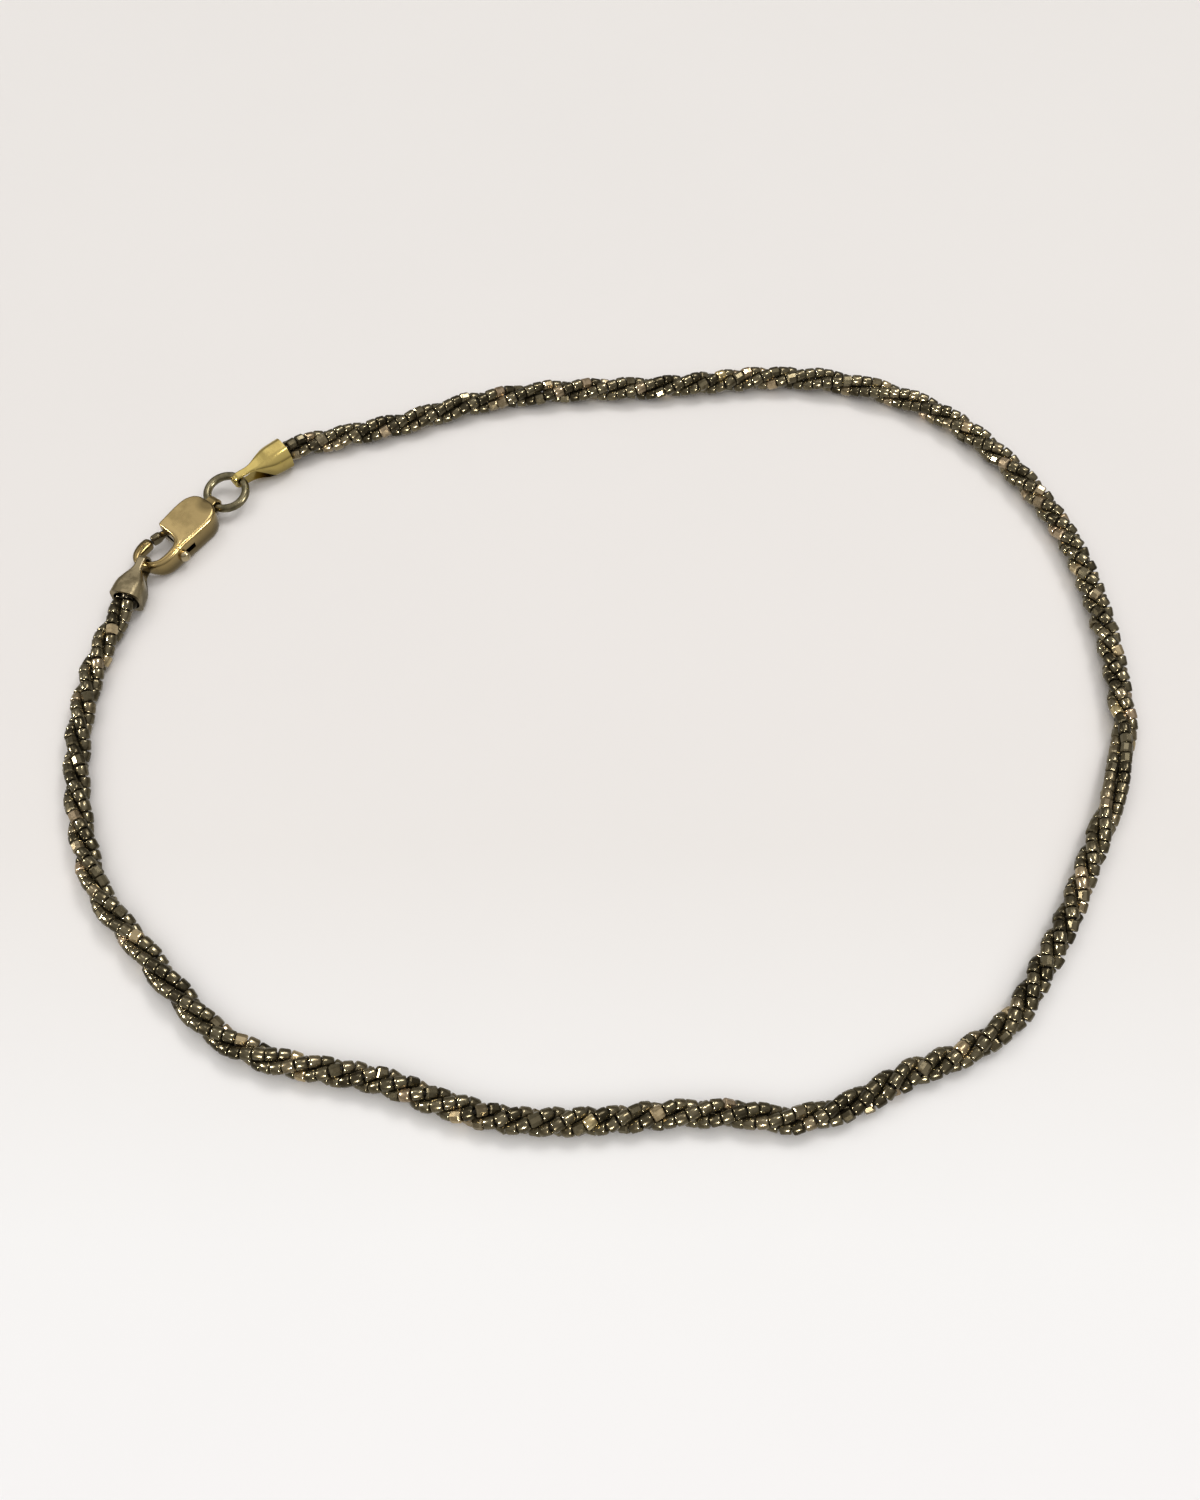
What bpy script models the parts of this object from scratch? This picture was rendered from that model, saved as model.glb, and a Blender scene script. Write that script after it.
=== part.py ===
"""A beaded anklet lying on a table: three bead strands twisted into a rope and closed with a lobster clasp.

The rope is a loop in the XY plane, +Z is up and the table is at z = 0. The origin is the middle of
the outline on the table. Lengths in the constants are millimetres and become metres through MM.
"""
import math

import bmesh
import bpy
import numpy as np
from mathutils import Matrix, Vector

MM = 0.001

# Rope of bead strands
STRAND_COUNT = 3
STRAND_DIAMETER = 0.90
TWIST_RADIUS = 0.64
POINTS_PER_TURN = 7
LONGEST_STEP = 1.3
TWIST_SMOOTHING = 2.5
TABLE_GAP = 0.02
ROPE_RADIUS = TWIST_RADIUS + STRAND_DIAMETER / 2
ROPE_REST_HEIGHT = ROPE_RADIUS + TABLE_GAP

# Middle line of the rope on the table, from the right cap clockwise to the left cap, chosen by hand
ROPE_ROUTE = [
    (-22.7, 27.6), (-17.6, 29.1), (-12.4, 31.1), (-7.0, 32.3), (-1.5, 32.9), (4.0, 33.1), (9.4, 33.7),
    (15.0, 34.3), (20.5, 34.0), (25.8, 32.6), (30.7, 30.0), (34.7, 26.1), (37.9, 21.4), (40.2, 16.2),
    (41.5, 10.5), (42.1, 4.8), (42.1, -0.7), (41.7, -4.1), (39.8, -9.3), (37.4, -14.2), (35.1, -18.8),
    (32.5, -23.0), (29.7, -26.9), (25.8, -29.4), (21.6, -31.0), (17.8, -33.0), (13.6, -34.1),
    (9.4, -33.7), (5.1, -33.7), (1.0, -34.1), (-3.3, -34.3), (-7.5, -34.0), (-11.6, -32.9),
    (-15.7, -31.4), (-20.0, -30.6), (-24.3, -29.7), (-28.1, -27.8), (-31.5, -24.6), (-34.7, -21.1),
    (-38.1, -17.2), (-40.2, -12.6), (-41.6, -7.4), (-42.2, -1.9), (-41.8, 3.5),
]

# Uneven twist: share of the rope's length, strands that have crossed its top by there
TWIST_TABLE = [
    (0.000, -0.4), (0.063, 3.7), (0.115, 6.7), (0.163, 9.7), (0.207, 13.7), (0.267, 16.7), (0.320, 20.8),
    (0.380, 27.8), (0.424, 31.8), (0.467, 32.8), (0.503, 35.9), (0.534, 39.0), (0.571, 42.0),
    (0.602, 45.1), (0.631, 47.1), (0.670, 50.1), (0.771, 61.1), (0.796, 63.1), (0.890, 68.9),
    (0.930, 71.8), (1.000, 77.0),
]

# Folded end caps
CAP_WIDTH = 2.68
CAP_HEIGHT = 2.68
CAP_SHEET = 0.20
TONGUE_WIDTH = 0.76
SOCKET_CLEARANCE = 0.05
SOCKET_DEPTH = 0.80
ROPE_INSERT = 0.50
RIGHT_CAP_LENGTH = 4.75
RIGHT_CAP_ANGLE = 39.0
LEFT_CAP_LENGTH = 3.65
LEFT_CAP_ANGLE = -104.5
LEFT_FOLD_ALONG = 8.50
LEFT_FOLD_ACROSS = -0.41
LEFT_FOLD_HEIGHT = 0.78
LEFT_FOLD_DEPTH = 0.45
CAP_SIDES = 16

# Jump ring
JUMP_RING_RADIUS = 1.70
JUMP_RING_WIRE = 0.72
JUMP_RING_TILT = 5.0
JUMP_RING_FROM_EYE = 49.7
RIGHT_CAP_FROM_RING = 51.3
JUMP_RING_CLEARANCE = 0.14
RING_STEPS = 22
WIRE_SIDES = 8

# Lobster clasp, drawn with its eye near the start, +x towards the hook and +y towards the spine
CLASP_ORIGIN = (-34.25, 20.13)
CLASP_ANGLE = -122.8
BODY_LENGTH = 6.60
BODY_HALF_WIDTH = 1.80
BODY_THICKNESS = 2.30
EYE_ALONG = 0.29
EYE_ACROSS = 0.22
EYE_HEIGHT = 1.06
EYE_WIDTH = 0.90
EYE_SHEET = 0.20
EYE_NECK_LENGTH = 0.95

# Clasp lever: a gate arm and a thumb nub on one pin
PIVOT_ALONG = 4.15
PIVOT_ACROSS = -1.00
PIN_RADIUS = 0.26
PIN_CLEARANCE = 0.04
PIN_LENGTH = 1.40
HUB_RADIUS = 0.55
LEVER_THICKNESS = 0.66
LEVER_SLOT = 0.90
GATE_LENGTH = 2.00
GATE_ANGLE = -15.0
GATE_WIDTH = 0.50
NUB_LENGTH = 3.42
NUB_ANGLE = 58.7
NUB_ARM_WIDTH = 0.55
NUB_SIZE = 0.85
NUB_THICKNESS = 1.10
ROUND_SIDES = 16

JUMP_EYE_HOLE = JUMP_RING_WIRE / 2 + JUMP_RING_CLEARANCE
BODY_MIDDLE = BODY_THICKNESS / 2
CAP_REST_HEIGHT = CAP_HEIGHT / 2


def clear_scene():
    """Remove every object of the opening scene."""
    for obj in list(bpy.data.objects):
        bpy.data.objects.remove(obj, do_unlink=True)


def metal(name, colour, roughness):
    """Principled metal of one colour."""
    material = bpy.data.materials.new(name)
    material.use_nodes = True
    shader = material.node_tree.nodes["Principled BSDF"]
    shader.inputs["Base Color"].default_value = (*colour, 1.0)
    shader.inputs["Metallic"].default_value = 1.0
    shader.inputs["Roughness"].default_value = roughness
    material.diffuse_color = (*colour, 1.0)
    return material


def place(x, y, z, angle):
    """Matrix of a piece's own frame: millimetres from the origin, turned about Z."""
    return Matrix.Translation(Vector((x, y, z)) * MM) @ Matrix.Rotation(math.radians(angle), 4, "Z")


def spot_in(frame, x, y, z=0.0):
    """World place, in millimetres, of a point given in a piece's own frame."""
    return frame @ (Vector((x, y, z)) * MM) / MM


def mesh_object(name, points, faces, frame, smooth_angle=35.0):
    """Object from points in millimetres, faces turned outwards and round stretches shaded smooth."""
    mesh = bpy.data.meshes.new(name)
    mesh.from_pydata([tuple(MM * float(value) for value in point) for point in points], [], faces)
    shell = bmesh.new()
    shell.from_mesh(mesh)
    bmesh.ops.recalc_face_normals(shell, faces=shell.faces)
    shell.to_mesh(mesh)
    shell.free()
    obj = bpy.data.objects.new(name, mesh)
    bpy.context.scene.collection.objects.link(obj)
    obj.matrix_world = frame
    mesh.shade_smooth()
    mesh.set_sharp_from_angle(angle=math.radians(smooth_angle))
    return obj


def loft(name, rings, frame, closed=False):
    """Skin through rings of as many points each, with end faces unless the rings close on themselves."""
    count = len(rings[0])
    points = [point for ring in rings for point in ring]
    faces = []
    spans = len(rings) if closed else len(rings) - 1
    for step in range(spans):
        near = step * count
        far = (step + 1) % len(rings) * count
        for side in range(count):
            turn = (side + 1) % count
            faces.append((near + side, near + turn, far + turn, far + side))
    if not closed:
        faces.append(tuple(reversed(range(count))))
        faces.append(tuple(range(len(points) - count, len(points))))
    return mesh_object(name, points, faces, frame)


def rounded(half_width, half_height, sides, squareness):
    """Closed outline between an ellipse, squareness 2, and a rectangle, as (across, up) pairs."""
    outline = []
    for index in range(sides):
        angle = 2 * math.pi * (index + 0.5) / sides
        across = math.copysign(abs(math.cos(angle)) ** (2 / squareness), math.cos(angle))
        up = math.copysign(abs(math.sin(angle)) ** (2 / squareness), math.sin(angle))
        outline.append((half_width * across, half_height * up))
    return outline


def prism(name, outline, low, high, frame):
    """Outline in x and y raised from low to high."""
    return loft(name, [[(x, y, z) for x, y in outline] for z in (low, high)], frame)


def cross_prism(name, outline, half_width, frame):
    """Outline in x and z carried across from -half_width to +half_width."""
    return loft(name, [[(x, y, z) for x, z in outline] for y in (-half_width, half_width)], frame)


def combine(target, tool, operation):
    """Exact Boolean of one helper shape on a target; the helper stays out of the model."""
    modifier = target.modifiers.new(tool.name, "BOOLEAN")
    modifier.object = tool
    modifier.operation = operation
    modifier.solver = "EXACT"
    tool.hide_render = True
    tool.display_type = "WIRE"


def arc(centre, radius, start, end, steps):
    """Points on an arc from the start to the end angle, in degrees."""
    angles = [math.radians(start + (end - start) * step / steps) for step in range(steps + 1)]
    return [(centre[0] + radius * math.cos(a), centre[1] + radius * math.sin(a)) for a in angles]


def wire_ring(name, radius, wire, frame, material):
    """Ring of round wire about the z axis of its own frame."""
    rings = []
    for step in range(RING_STEPS):
        turn = 2 * math.pi * step / RING_STEPS
        ring = []
        for side in range(WIRE_SIDES):
            angle = 2 * math.pi * side / WIRE_SIDES
            reach = radius + wire / 2 * math.cos(angle)
            ring.append((reach * math.cos(turn), reach * math.sin(turn), -wire / 2 * math.sin(angle)))
        rings.append(ring)
    obj = loft(name, rings, frame, closed=True)
    obj.data.materials.append(material)
    return obj


def smooth_route(points, samples=12):
    """Even curve through the points: a Catmull-Rom spline, as an array of places."""
    route = np.array(points, dtype=float)
    route = np.vstack([2 * route[0] - route[1], route, 2 * route[-1] - route[-2]])
    share = np.linspace(0.0, 1.0, samples, endpoint=False)[:, None]
    pieces = []
    for index in range(1, len(route) - 2):
        before, start, end, after = route[index - 1:index + 3]
        pieces.append(0.5 * (2 * start + (end - before) * share
                             + (2 * before - 5 * start + 4 * end - after) * share ** 2
                             + (3 * start - before - 3 * end + after) * share ** 3))
    return np.vstack(pieces + [route[-2][None, :]])


def rope_line(right_cap, left_cap):
    """Middle line of the rope from seat to seat, with its arc length: it leaves each cap along the cap."""
    seats = []
    for frame, length in ((right_cap, RIGHT_CAP_LENGTH), (left_cap, LEFT_CAP_LENGTH)):
        seats.append([tuple(spot_in(frame, length - ROPE_INSERT, 0.0)), tuple(spot_in(frame, length + 0.8, 0.0))])
    points = seats[0] + [(x, y, ROPE_REST_HEIGHT) for x, y in ROPE_ROUTE] + seats[1][::-1]
    line = smooth_route(points)
    length = np.concatenate([[0.0], np.cumsum(np.linalg.norm(np.diff(line, axis=0), axis=1))])
    return line, length


def strand_paths(line, length):
    """Left-handed helix of each strand round the rope's middle line, tighter where the twist is tight."""
    even = np.linspace(0.0, length[-1], int(length[-1] / 0.05))
    table = np.array(TWIST_TABLE)
    crossed = np.interp(even / length[-1], table[:, 0], table[:, 1])
    half = int(TWIST_SMOOTHING / 0.05)
    padded = np.concatenate([
        2 * crossed[0] - crossed[half:0:-1], crossed, 2 * crossed[-1] - crossed[-2:-half - 2:-1]])
    crossed = np.convolve(padded, np.ones(2 * half + 1) / (2 * half + 1), mode="valid")
    rate = np.maximum(np.gradient(crossed, even) * POINTS_PER_TURN / STRAND_COUNT, 1 / LONGEST_STEP)
    effort = np.concatenate([[0.0], np.cumsum((rate[1:] + rate[:-1]) / 2 * np.diff(even))])
    stations = np.interp(np.linspace(0.0, effort[-1], int(effort[-1]) + 2), effort, even)
    middle = np.stack([np.interp(stations, length, line[:, axis]) for axis in range(3)], axis=1)
    ahead = np.stack([np.interp(stations + 0.2, length, line[:, axis]) for axis in range(3)], axis=1)
    behind = np.stack([np.interp(stations - 0.2, length, line[:, axis]) for axis in range(3)], axis=1)
    along = ahead - behind
    along /= np.linalg.norm(along, axis=1)[:, None]
    side = np.cross(along, (0.0, 0.0, 1.0))
    side /= np.linalg.norm(side, axis=1)[:, None]
    up = np.cross(side, along)
    count = np.interp(stations, even, crossed)
    paths = []
    for strand in range(STRAND_COUNT):
        angle = (2 * np.pi / STRAND_COUNT * (strand - count))[:, None]
        paths.append(middle + TWIST_RADIUS * (np.cos(angle) * up + np.sin(angle) * side))
    return paths


def bead_strand(name, path, material):
    """One strand of beads as the round tube that it fills."""
    curve = bpy.data.curves.new(name, "CURVE")
    curve.dimensions = "3D"
    curve.bevel_depth = STRAND_DIAMETER / 2 * MM
    curve.bevel_resolution = 2
    curve.use_fill_caps = True
    spline = curve.splines.new("POLY")
    spline.points.add(len(path) - 1)
    for point, place_now in zip(spline.points, path):
        point.co = (*(place_now * MM), 1.0)
    obj = bpy.data.objects.new(name, curve)
    bpy.context.scene.collection.objects.link(obj)
    curve.materials.append(material)
    return obj


# Sections of a cap from its fold to its mouth: share of the length, shares of the way from the tongue's
# width and the fold's height to those of the mouth, rounding
CAP_TABLE = [
    (0.00, 0.00, 0.00, 5.0), (0.20, 0.04, 0.00, 5.0), (0.34, 0.38, 0.12, 4.5), (0.50, 0.66, 0.41, 4.0),
    (0.66, 0.89, 0.73, 3.5), (0.82, 0.97, 0.94, 3.5), (1.00, 1.00, 1.00, 3.5),
]


def cap_sections(length, hole, depth):
    """Sections of a cap folded round a hole: place, half width, half height, rounding."""
    tongue = TONGUE_WIDTH / 2
    fold = hole + CAP_SHEET
    sections = []
    for angle in (14.0, 38.0, 64.0):
        turn = math.radians(angle)
        sections.append((-(depth + CAP_SHEET) * math.cos(turn), tongue, fold * math.sin(turn), 5.0))
    for share, spread, rise, squareness in CAP_TABLE:
        half_width = tongue + spread * (CAP_WIDTH / 2 - tongue)
        half_height = fold + rise * (CAP_HEIGHT / 2 - fold)
        sections.append((share * length, half_width, half_height, squareness))
    return sections


def end_cap(name, frame, length, hole, depth, material):
    """Sheet folded round what holds it and flared to a socket for the rope; the fold stays open at its sides."""
    sections = cap_sections(length, hole, depth)
    rings = []
    for along, across, up, squareness in sections:
        rings.append([(along, y, z) for y, z in rounded(across, up, CAP_SIDES, squareness)])
    cap = loft(name, rings, frame)
    cap.data.materials.append(material)

    socket = ROPE_RADIUS + SOCKET_CLEARANCE
    bore = []
    for along, radius in ((length - SOCKET_DEPTH, socket), (length + CAP_SHEET, socket)):
        bore.append([(along, y, z) for y, z in rounded(radius, radius, CAP_SIDES, 2.0)])
    combine(cap, loft(name + "_socket_cutter", bore, frame), "DIFFERENCE")

    gap = [(depth * x, hole * z) for x, z in arc((0.0, 0.0), 1.0, 90.0, 270.0, 8)]
    gap += [(along, CAP_SHEET - up) for along, across, up, squareness in sections if 0 < along < 0.7 * length]
    gap += [(gap[-1][0], -0.30 * CAP_HEIGHT), (0.50 * length, -0.06 * CAP_HEIGHT), (0.30 * length, hole)]
    combine(cap, cross_prism(name + "_fold_cutter", gap, CAP_WIDTH, frame), "DIFFERENCE")
    return cap


def inset_outline(outline, distance):
    """Outline moved inwards by a distance along the mean normal at each corner; it runs anticlockwise."""
    moved = []
    for index, point in enumerate(outline):
        before = Vector(outline[index - 1])
        after = Vector(outline[(index + 1) % len(outline)])
        here = Vector(point)
        first = (here - before).normalized()
        second = (after - here).normalized()
        normal = Vector((-first.y - second.y, first.x + second.x)).normalized()
        moved.append(tuple(here + normal * distance))
    return moved


def body_outline():
    """Outline of the clasp body seen from above, anticlockwise from the eye: shares of its sizes."""
    table = [
        (0.105, 0.42), (0.095, -0.20), (0.13, -0.56), (0.21, -0.80), (0.31, -0.90), (0.45, -0.935),
        (0.60, -0.935), (0.735, -0.92), (0.757, -0.60), (0.770, -0.28), (0.788, 0.03), (0.826, 0.28),
        (0.894, 0.42), (1.00, 0.44), (1.00, 0.88), (0.85, 0.91), (0.67, 0.97), (0.49, 1.03),
        (0.34, 1.055), (0.23, 0.96), (0.155, 0.75),
    ]
    return [(along * BODY_LENGTH, across * BODY_HALF_WIDTH) for along, across in table]


def hook_sections():
    """Sections along the hook's middle line: shares of body length and half width, then width, height."""
    return [
        (0.80, 0.67, 0.70, 1.90), (0.92, 0.67, 0.80, 1.96), (1.02, 0.66, 0.84, 1.96), (1.12, 0.60, 0.82, 1.86),
        (1.20, 0.44, 0.76, 1.66), (1.252, 0.16, 0.68, 1.36), (1.284, -0.16, 0.60, 1.06),
        (1.305, -0.44, 0.56, 0.98), (1.285, -0.70, 0.56, 0.98), (1.215, -0.87, 0.60, 1.00),
        (1.120, -0.945, 0.66, 1.00), (1.040, -0.945, 0.68, 0.96), (0.975, -0.92, 0.64, 0.90),
    ]


def hook(frame):
    """Hook that leaves the spine, turns round the end and comes back to the gate."""
    table = np.array(hook_sections())
    middle = smooth_route(table[:, :2] * (BODY_LENGTH, BODY_HALF_WIDTH), samples=2)
    sizes = smooth_route(table[:, 2:], samples=2)
    heading = np.gradient(middle, axis=0)
    heading /= np.linalg.norm(heading, axis=1)[:, None]
    rings = []
    for spot, way, (width, height) in zip(middle, heading, sizes):
        rings.append([(spot[0] - way[1] * y, spot[1] + way[0] * y, BODY_MIDDLE + z)
                      for y, z in rounded(width / 2, height / 2, 12, 2.6)])
    return loft("hook_helper", rings, frame)


def pin_bore(name, radius, low, high, frame):
    """Round bar on the lever's pivot."""
    outline = arc((PIVOT_ALONG, PIVOT_ACROSS), radius, 0.0, 360.0 - 360.0 / ROUND_SIDES, ROUND_SIDES - 1)
    return prism(name, outline, low, high, frame)


def clasp_body(frame, material):
    """Hollow-looking body with its eye, hook, lever slot and pin bores; its underside is flat."""
    outline = body_outline()
    levels = [(0.30, 0.0), (0.07, 0.10), (0.0, 0.30), (0.0, 0.72), (0.07, 0.90), (0.26, 1.0)]
    rings = [[(x, y, level * BODY_THICKNESS) for x, y in inset_outline(outline, inset)] for inset, level in levels]
    body = loft("clasp_body", rings, frame)
    body.data.materials.append(material)

    combine(body, hook(frame), "UNION")

    fold = JUMP_EYE_HOLE + EYE_SHEET
    eye_frame = frame @ place(EYE_ALONG, EYE_ACROSS, EYE_HEIGHT, 0.0)
    eye = arc((0.0, 0.0), fold, 90.0, 270.0, 10) + [(EYE_NECK_LENGTH, -fold), (EYE_NECK_LENGTH, fold)]
    combine(body, cross_prism("eye_helper", eye, EYE_WIDTH / 2, eye_frame), "UNION")
    hole = arc((0.0, 0.0), JUMP_EYE_HOLE, 90.0, 90.0 + 360.0 * 15 / 16, 15)
    combine(body, cross_prism("eye_cutter", hole, EYE_WIDTH, eye_frame), "DIFFERENCE")

    low = BODY_MIDDLE - LEVER_SLOT / 2
    high = BODY_MIDDLE + LEVER_SLOT / 2
    reach = HUB_RADIUS + 0.18
    slot = [
        (PIVOT_ALONG - reach, -2.2), (PIVOT_ALONG + 1.80, -2.2), (PIVOT_ALONG + 1.80, 0.40),
        (PIVOT_ALONG + 2.12, 1.25), (PIVOT_ALONG + 2.12, 2.4), (PIVOT_ALONG + 0.10, 2.4),
        (PIVOT_ALONG - 0.10, 0.60), (PIVOT_ALONG - reach, -0.40),
    ]
    combine(body, prism("slot_cutter", slot, low, high, frame), "DIFFERENCE")

    half = PIN_LENGTH / 2 + PIN_CLEARANCE
    bore = pin_bore("bore_cutter", PIN_RADIUS + PIN_CLEARANCE, BODY_MIDDLE - half, BODY_MIDDLE + half, frame)
    combine(body, bore, "DIFFERENCE")
    return body


def clasp_lever(frame, material):
    """Gate arm and thumb nub on one hub, which turns on the pin."""
    low = BODY_MIDDLE - LEVER_THICKNESS / 2
    high = BODY_MIDDLE + LEVER_THICKNESS / 2
    lever = pin_bore("clasp_lever", HUB_RADIUS, low, high, frame)
    lever.data.materials.append(material)

    gate_frame = frame @ place(PIVOT_ALONG, PIVOT_ACROSS, 0.0, GATE_ANGLE)
    root = GATE_WIDTH * 0.75
    tip = GATE_WIDTH / 2
    arm = [(-0.05, -root), (GATE_LENGTH * 0.6, -tip), (GATE_LENGTH, -tip), (GATE_LENGTH, tip),
           (GATE_LENGTH * 0.6, tip), (-0.05, root)]
    inner = 0.02
    combine(lever, prism("gate_helper", arm, low + inner, high - inner, gate_frame), "UNION")

    nub_frame = frame @ place(PIVOT_ALONG, PIVOT_ACROSS, BODY_MIDDLE, NUB_ANGLE)
    arm_half = LEVER_THICKNESS / 2 - inner
    neck = NUB_LENGTH - NUB_SIZE * 0.75
    sections = [
        (0.05, NUB_ARM_WIDTH, arm_half), (neck, NUB_ARM_WIDTH, arm_half),
        (neck + NUB_SIZE * 0.10, NUB_SIZE * 0.85, NUB_THICKNESS * 0.42),
        (neck + NUB_SIZE * 0.35, NUB_SIZE, NUB_THICKNESS / 2),
        (neck + NUB_SIZE * 0.60, NUB_SIZE * 0.85, NUB_THICKNESS * 0.42),
        (NUB_LENGTH, NUB_SIZE * 0.40, NUB_THICKNESS * 0.22),
    ]
    rings = [[(along, y, z) for y, z in rounded(width / 2, up, 12, 3.0)] for along, width, up in sections]
    combine(lever, loft("nub_helper", rings, nub_frame), "UNION")

    bore = pin_bore("lever_bore_cutter", PIN_RADIUS + PIN_CLEARANCE, low - 1.0, high + 1.0, frame)
    combine(lever, bore, "DIFFERENCE")
    return lever


def build():
    """Make every piece of the anklet."""
    clear_scene()
    antique_gold = metal("antique_gold", (0.62, 0.47, 0.20), 0.30)
    dark_ring = metal("tarnished_wire", (0.24, 0.22, 0.15), 0.38)
    lever_metal = metal("tarnished_lever", (0.20, 0.18, 0.12), 0.42)
    steel = metal("pin_steel", (0.40, 0.39, 0.36), 0.35)
    bead_metal = metal("tarnished_beads", (0.17, 0.145, 0.085), 0.36)

    clasp = place(*CLASP_ORIGIN, 0.0, CLASP_ANGLE)
    clasp_body(clasp, antique_gold)
    clasp_lever(clasp, lever_metal)
    pin_low = BODY_MIDDLE - PIN_LENGTH / 2
    pin = pin_bore("lever_pin", PIN_RADIUS, pin_low, pin_low + PIN_LENGTH, clasp)
    pin.data.materials.append(steel)

    eye = spot_in(clasp, EYE_ALONG, EYE_ACROSS, EYE_HEIGHT)
    jump_frame = place(eye.x, eye.y, eye.z, JUMP_RING_FROM_EYE)
    jump_frame = jump_frame @ Matrix.Rotation(math.radians(-JUMP_RING_TILT), 4, "Y")
    jump_frame = jump_frame @ Matrix.Translation(Vector((JUMP_RING_RADIUS * MM, 0.0, 0.0)))
    wire_ring("jump_ring", JUMP_RING_RADIUS, JUMP_RING_WIRE, jump_frame, dark_ring)

    turn = math.radians(RIGHT_CAP_FROM_RING - JUMP_RING_FROM_EYE)
    fold = spot_in(jump_frame, JUMP_RING_RADIUS * math.cos(turn), JUMP_RING_RADIUS * math.sin(turn))
    right_cap = place(fold.x, fold.y, CAP_REST_HEIGHT, RIGHT_CAP_ANGLE)
    end_cap("end_cap_right", right_cap, RIGHT_CAP_LENGTH, JUMP_EYE_HOLE, JUMP_EYE_HOLE, antique_gold)

    fold = spot_in(clasp, LEFT_FOLD_ALONG, LEFT_FOLD_ACROSS)
    left_cap = place(fold.x, fold.y, CAP_REST_HEIGHT, LEFT_CAP_ANGLE)
    end_cap("end_cap_left", left_cap, LEFT_CAP_LENGTH, LEFT_FOLD_HEIGHT, LEFT_FOLD_DEPTH, antique_gold)

    line, length = rope_line(right_cap, left_cap)
    for number, path in enumerate(strand_paths(line, length), start=1):
        bead_strand(f"strand_{number}", path, bead_metal)


build()
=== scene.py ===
# %% [markdown]
# # A beaded anklet in close-up
# The part comes as plain solids: three tubes for the bead strands, two folded caps, a ring and a clasp.
# This lesson gives them their real look. Each tube becomes a row of small metal beads, the metal pieces get
# their rounded edges, and every surface gets a material made of nodes. Lengths are millimetres until the
# last moment, when MM turns them into metres.

# %% Load the part
import math

import bmesh
import bpy
import numpy as np
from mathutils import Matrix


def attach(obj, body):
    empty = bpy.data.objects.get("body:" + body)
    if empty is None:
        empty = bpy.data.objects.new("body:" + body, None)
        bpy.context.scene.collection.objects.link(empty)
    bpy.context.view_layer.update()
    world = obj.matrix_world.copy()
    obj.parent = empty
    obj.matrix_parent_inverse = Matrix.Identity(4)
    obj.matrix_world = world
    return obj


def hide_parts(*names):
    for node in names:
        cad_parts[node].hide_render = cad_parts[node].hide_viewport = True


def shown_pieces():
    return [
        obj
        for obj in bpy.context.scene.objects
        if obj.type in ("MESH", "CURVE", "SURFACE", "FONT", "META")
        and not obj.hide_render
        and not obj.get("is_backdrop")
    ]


MM = 0.001
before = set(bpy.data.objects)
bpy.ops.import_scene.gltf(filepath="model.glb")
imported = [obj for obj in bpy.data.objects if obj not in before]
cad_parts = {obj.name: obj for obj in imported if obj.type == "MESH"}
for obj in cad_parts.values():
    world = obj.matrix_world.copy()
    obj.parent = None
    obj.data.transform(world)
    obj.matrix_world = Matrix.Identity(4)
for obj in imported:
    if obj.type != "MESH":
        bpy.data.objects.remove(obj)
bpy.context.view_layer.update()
rng = np.random.default_rng(7)

# %% [markdown]
# ## Curves and skins
# Everything is drawn the same way: a few given numbers, a smooth curve through them, and a skin
# over rings of points. The helpers work on whole arrays at once.

# %% Curves, frames and skins


def smooth(points, samples, closed=False):
    """Curve p(t) = ½(2b + (c−a)t + (2a−5b+4c−d)t² + (3b−a−3c+d)t³) between each two rows b and c."""
    points = np.asarray(points, dtype=float)
    if closed:
        rows = np.vstack([points[-1:], points, points[:2]])
    else:
        rows = np.vstack([2 * points[:1] - points[1:2], points, 2 * points[-1:] - points[-2:-1]])
    a, b, c, d = (rows[step:len(rows) - 3 + step, None, :] for step in range(4))
    t = np.linspace(0.0, 1.0, samples, endpoint=False)[None, :, None]
    curve = 2 * b + (c - a) * t + (2 * a - 5 * b + 4 * c - d) * t ** 2 + (3 * b - a - 3 * c + d) * t ** 3
    curve = (0.5 * curve).reshape(-1, points.shape[1])
    return curve if closed else np.vstack([curve, points[-1:]])


def frame_at(x, y, z, angle=0.0):
    """4 by 4 matrix in millimetres: a turn about Z by the angle, then a move to x, y, z."""
    cos, sin = math.cos(math.radians(angle)), math.sin(math.radians(angle))
    return np.array([[cos, -sin, 0.0, x], [sin, cos, 0.0, y], [0.0, 0.0, 1.0, z], [0.0, 0.0, 0.0, 1.0]])


def leaning(angle):
    """4 by 4 matrix of a turn about Y by the angle."""
    cos, sin = math.cos(math.radians(angle)), math.sin(math.radians(angle))
    matrix = np.eye(4)
    matrix[0, 0], matrix[0, 2] = cos, sin
    matrix[2, 0], matrix[2, 2] = -sin, cos
    return matrix


def carried(matrix, points):
    """Points of a piece's own frame in the world: R p + t for every row."""
    points = np.asarray(points, dtype=float)
    return points @ matrix[:3, :3].T + matrix[:3, 3]


def skin_faces(count, sides, loop=False):
    """Quads between rings of as many points, and an end face on each end unless the rings close."""
    near = np.arange(count if loop else count - 1)[:, None] * sides
    far = (near + sides) % (count * sides)
    side = np.arange(sides)[None, :]
    turn = (side + 1) % sides
    faces = np.stack([near + side, near + turn, far + turn, far + side], axis=-1).reshape(-1, 4).tolist()
    if not loop:
        faces += [list(range(sides))[::-1], list(range((count - 1) * sides, count * sides))]
    return faces


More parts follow.
